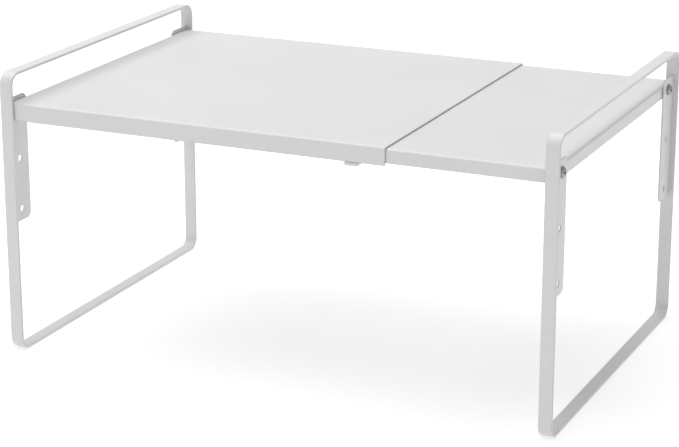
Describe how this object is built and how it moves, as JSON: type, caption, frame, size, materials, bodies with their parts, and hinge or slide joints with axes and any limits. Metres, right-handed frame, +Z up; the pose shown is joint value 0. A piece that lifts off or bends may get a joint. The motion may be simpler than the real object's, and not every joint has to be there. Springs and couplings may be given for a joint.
{
  "type": "expandable shelf riser",
  "caption": "Expandable kitchen shelf riser with telescoping sheet-steel trays screwed to bracket plates on looped flat-bar end frames.",
  "frame": {"origin": "centre of the footprint, on the surface the riser stands on, at the modelled extension", "axes": "+X from the left end frame (outer tray) to the right one (inner tray), +Y from front to back, +Z up"},
  "size_m": [0.43, 0.28, 0.214],
  "materials": {
    "tray_powder_coat": "satin white powder coat",
    "frame_powder_coat": "satin white powder coat",
    "fastener_steel": "bright zinc-plated steel"
  },
  "bodies": {
    "left_half": {"left_end_frame": "frame_powder_coat", "left_front_bracket": "frame_powder_coat", "left_rear_bracket": "frame_powder_coat", "outer_tray": "tray_powder_coat", "retaining_strap": "tray_powder_coat", "left_front_screw": "fastener_steel", "left_rear_screw": "fastener_steel", "left_front_nut": "fastener_steel", "left_rear_nut": "fastener_steel"},
    "right_half": {"right_end_frame": "frame_powder_coat", "right_front_bracket": "frame_powder_coat", "right_rear_bracket": "frame_powder_coat", "inner_tray": "tray_powder_coat", "front_stop_tab": "tray_powder_coat", "rear_stop_tab": "tray_powder_coat", "right_front_screw": "fastener_steel", "right_rear_screw": "fastener_steel", "right_front_nut": "fastener_steel", "right_rear_nut": "fastener_steel"}
  },
  "joints": [
    {"name": "width_slide", "type": "slide", "parent": "left_half", "child": "right_half", "axis": [1, 0, 0], "range_m": [-0.118, 0.133]}
  ]
}
